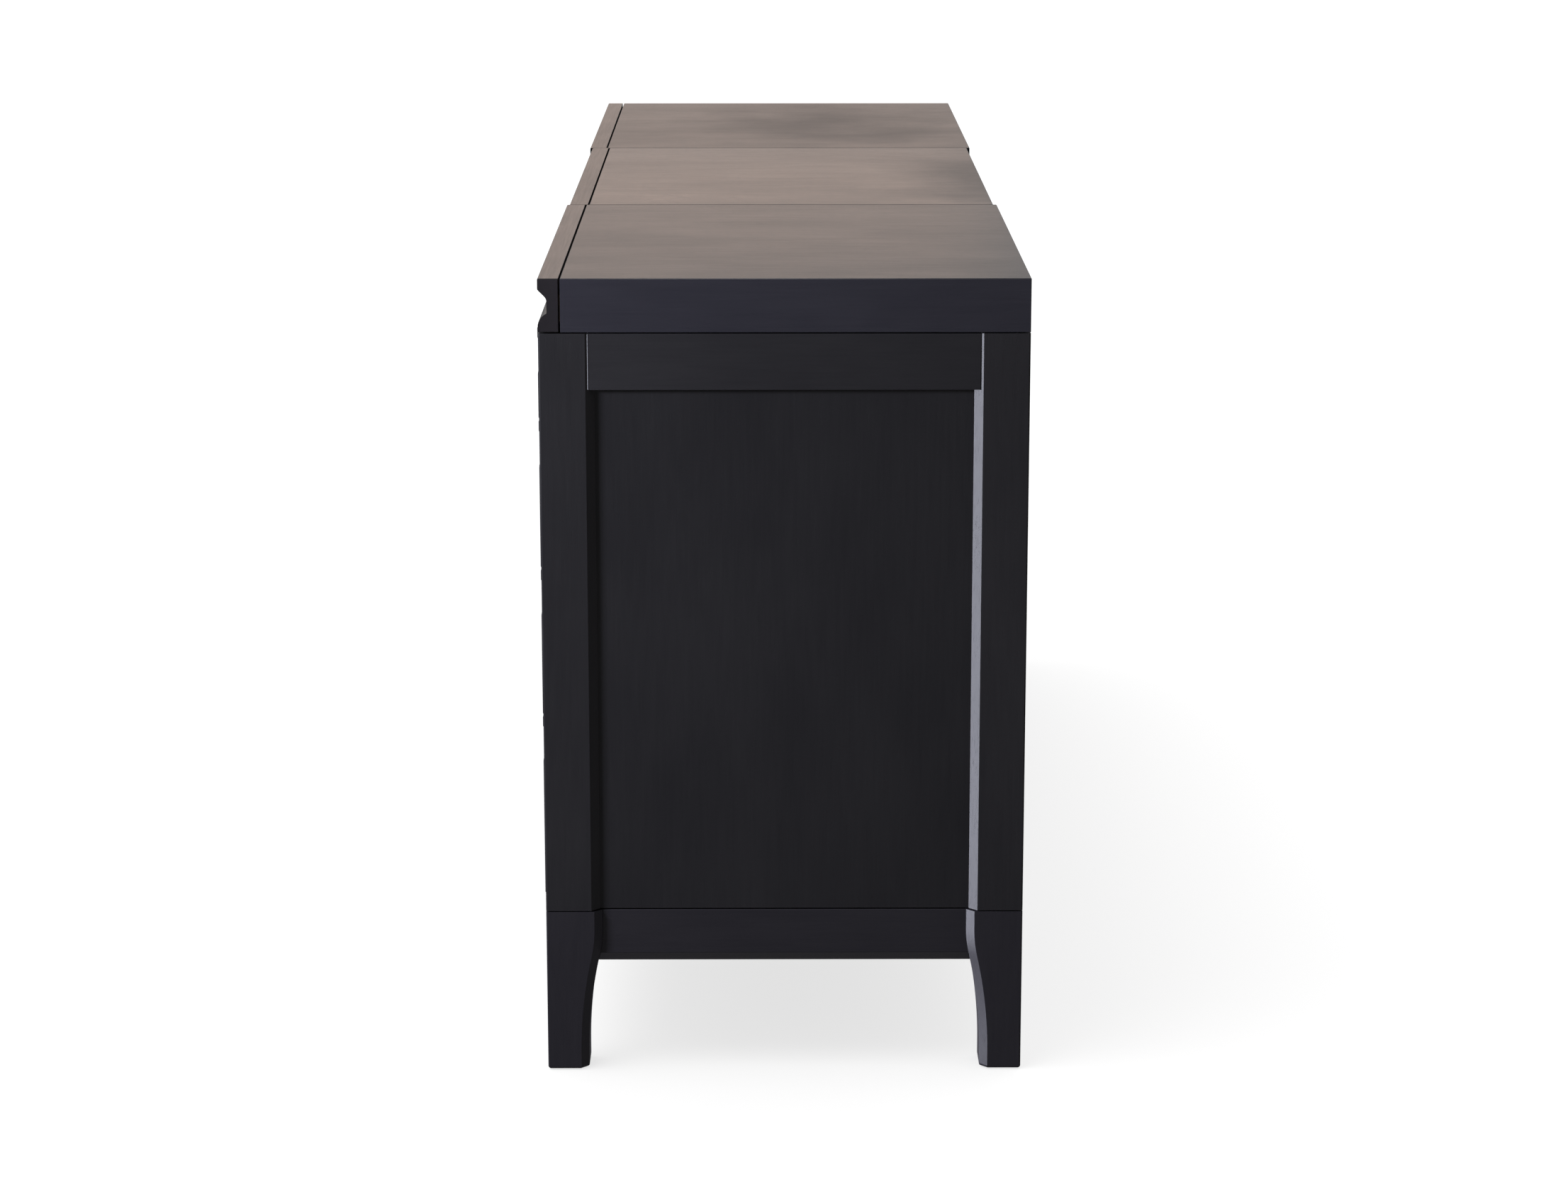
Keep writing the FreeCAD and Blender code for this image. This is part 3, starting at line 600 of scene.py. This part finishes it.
def make_floor():
    """A pale floor, lit from below as a studio's light table is, so that its shadows stay faint."""
    mesh = bpy.data.meshes.new("floor")
    form = bmesh.new()
    bmesh.ops.create_circle(form, cap_ends=True, segments=96, radius=FLOOR_RADIUS)
    form.to_mesh(mesh)
    form.free()
    floor = bpy.data.objects.new("floor", mesh)
    bpy.context.scene.collection.objects.link(floor)
    graph = Graph("floor_paper")
    position = graph.add("TexCoord").outputs["Object"]
    away = graph.add("VectorMath", {0: position}, operation="LENGTH").outputs["Value"]
    fade = graph.remap(away, *FLOOR_FADE, 0.0, 1.0)
    color = graph.mix(fade, (0.36, 0.36, 0.36), (0.25, 0.25, 0.25))
    glow = {"Emission_Color": (1.0, 1.0, 1.0, 1.0), "Emission_Strength": FLOOR_GLOW}
    mesh.materials.append(graph.finish(color, 0.9, None, 0.1, **glow))
    floor.visible_glossy = False
    return floor


def make_world():
    """A studio dome, dim below the horizon and towards +X, behind a backdrop that is plain white to see."""
    world = bpy.data.worlds.new("studio")
    bpy.context.scene.world = world
    world.use_nodes = True
    nodes, links = world.node_tree.nodes, world.node_tree.links
    nodes.clear()
    direction = nodes.new("ShaderNodeTexCoord")
    parts = nodes.new("ShaderNodeSeparateXYZ")
    height = nodes.new("ShaderNodeMapRange")
    height.inputs["From Min"].default_value = -1.0
    ramp = nodes.new("ShaderNodeValToRGB")
    for at, shade in SKY_STOPS:
        stop = ramp.color_ramp.elements.new(at)
        stop.color = (*shade, 1.0)
    ramp.color_ramp.elements.remove(ramp.color_ramp.elements[0])
    ramp.color_ramp.elements.remove(ramp.color_ramp.elements[-1])
    frontal = nodes.new("ShaderNodeMapRange")
    sideways = nodes.new("ShaderNodeMapRange")
    ranges = ((frontal, (*FRONTAL, FRONT_SKY, REAR_SKY)), (sideways, (*SIDEWAYS, FAR_SKY, NEAR_SKY)))
    for node, values in ranges:
        for name, value in zip(("From Min", "From Max", "To Min", "To Max"), values):
            node.inputs[name].default_value = value
    strength = nodes.new("ShaderNodeMath")
    strength.operation = "MULTIPLY"
    sky = nodes.new("ShaderNodeBackground")
    out = nodes.new("ShaderNodeOutputWorld")
    links.new(direction.outputs["Generated"], parts.inputs[0])
    links.new(parts.outputs["Z"], height.inputs[0])
    links.new(height.outputs[0], ramp.inputs[0])
    links.new(parts.outputs["Y"], frontal.inputs[0])
    links.new(ramp.outputs[0], sky.inputs["Color"])
    links.new(parts.outputs["X"], sideways.inputs[0])
    links.new(frontal.outputs[0], strength.inputs[0])
    links.new(sideways.outputs[0], strength.inputs[1])
    links.new(strength.outputs[0], sky.inputs["Strength"])
    backdrop = nodes.new("ShaderNodeBackground")
    backdrop.inputs["Color"].default_value = (1.0, 1.0, 1.0, 1.0)
    rays = nodes.new("ShaderNodeLightPath")
    seen = nodes.new("ShaderNodeMixShader")
    links.new(rays.outputs["Is Camera Ray"], seen.inputs[0])
    links.new(sky.outputs[0], seen.inputs[1])
    links.new(backdrop.outputs[0], seen.inputs[2])
    links.new(seen.outputs[0], out.inputs[0])


def soft_light(name, data, at, aim, power, color, reaches, blocked_by=None):
    """Places a light that reaches only the given objects and, if asked, is blocked only by some."""
    data.energy = power
    data.color = color
    light = bpy.data.objects.new(name, data)
    light.location = at
    light.rotation_mode = "QUATERNION"
    light.rotation_quaternion = (Vector(aim) - Vector(at)).to_track_quat("-Z", "Y")
    light.visible_camera = False
    bpy.context.scene.collection.objects.link(light)
    reached = bpy.data.collections.new(name + "_reaches")
    for thing in reaches:
        reached.objects.link(thing)
    light.light_linking.receiver_collection = reached
    if blocked_by:
        blockers = bpy.data.collections.new(name + "_blockers")
        for thing in blocked_by:
            blockers.objects.link(thing)
        light.light_linking.blocker_collection = blockers


def panel_light(name, width, height):
    data = bpy.data.lights.new(name, "AREA")
    data.shape = "RECTANGLE"
    data.size, data.size_y = width, height
    return data


def make_lights(floor, pieces):
    """The lights: a key on the near end, a strip that the rear chamfers and the side rail's edge mirror, a
    warm glow over the far end that the tops mirror, a fill on the end of the scooped front, a light on the
    near end's upper edges, and a sun for the dresser's shadow on the floor."""
    nodes = frame["nodes"]
    near, far = CAD_BOX[1].x, CAD_BOX[0].x
    front, top = CAD_BOX[0].y, CAD_BOX[1].z
    dresser = list(nodes.values()) + pieces
    tops = [nodes[name] for name in bay_nodes("top_board") + bay_nodes("top_drawer_front")]
    sides = [thing for thing in dresser if thing not in tops]
    corner = [nodes["post_rear_right"], nodes["foot_rear_right"]]
    mirrors = corner + [nodes["side_top_rail_right"]]
    scoop = [nodes["top_drawer_front_right"]]
    edged = [nodes[name + "_right"] for name in ("top_board", "top_case", "post_front", "post_rear")]

    panel = panel_light("key", 0.4, 0.4)
    at, aim = (near + 0.8, front - 1.35, 1.25), (near, 0.0, 0.5)
    soft_light("key", panel, at, aim, KEY, (0.84, 0.88, 1.0), sides)

    panel = panel_light("strip", 0.6, 1.2)
    at, aim = (near - 0.06, front - 0.42, 0.30), (near - 0.06, 0.2, 0.30)
    soft_light("strip", panel, at, aim, STRIP, (0.84, 0.86, 1.0), mirrors, corner)

    panel = panel_light("glow", 2.0, 0.8)
    at, aim = (far - 3.3, -0.4, top + 0.9), (0.0, -0.1, top)
    soft_light("glow", panel, at, aim, GLOW, (1.0, 0.60, 0.40), tops)

    panel = panel_light("end_fill", 1.0, 1.0)
    at, aim = (near + 2.5, 0.0, top - 0.1), (near, 0.0, top - 0.1)
    soft_light("end_fill", panel, at, aim, END_FILL, (0.85, 0.76, 1.0), scoop)

    panel = panel_light("edge_light", 0.25, 1.5)
    at, aim = (near + 0.35, 0.0, top + 1.25), (near, 0.0, top)
    soft_light("edge_light", panel, at, aim, EDGE_LIGHT, (1.0, 0.97, 0.94), edged + scoop)

    sun = bpy.data.lights.new("floor_sun", "SUN")
    sun.angle = SUN_WIDTH
    at, aim = (0.45, -1.0, 2.2), (0.0, 0.0, 0.0)
    soft_light("floor_sun", sun, at, aim, FLOOR_SUN, (1.0, 1.0, 1.0), [floor], dresser)


make_camera()
make_world()
dress_frame_nodes()
make_lights(make_floor(), make_small_pieces())
bpy.context.scene.view_settings.view_transform = "Standard"
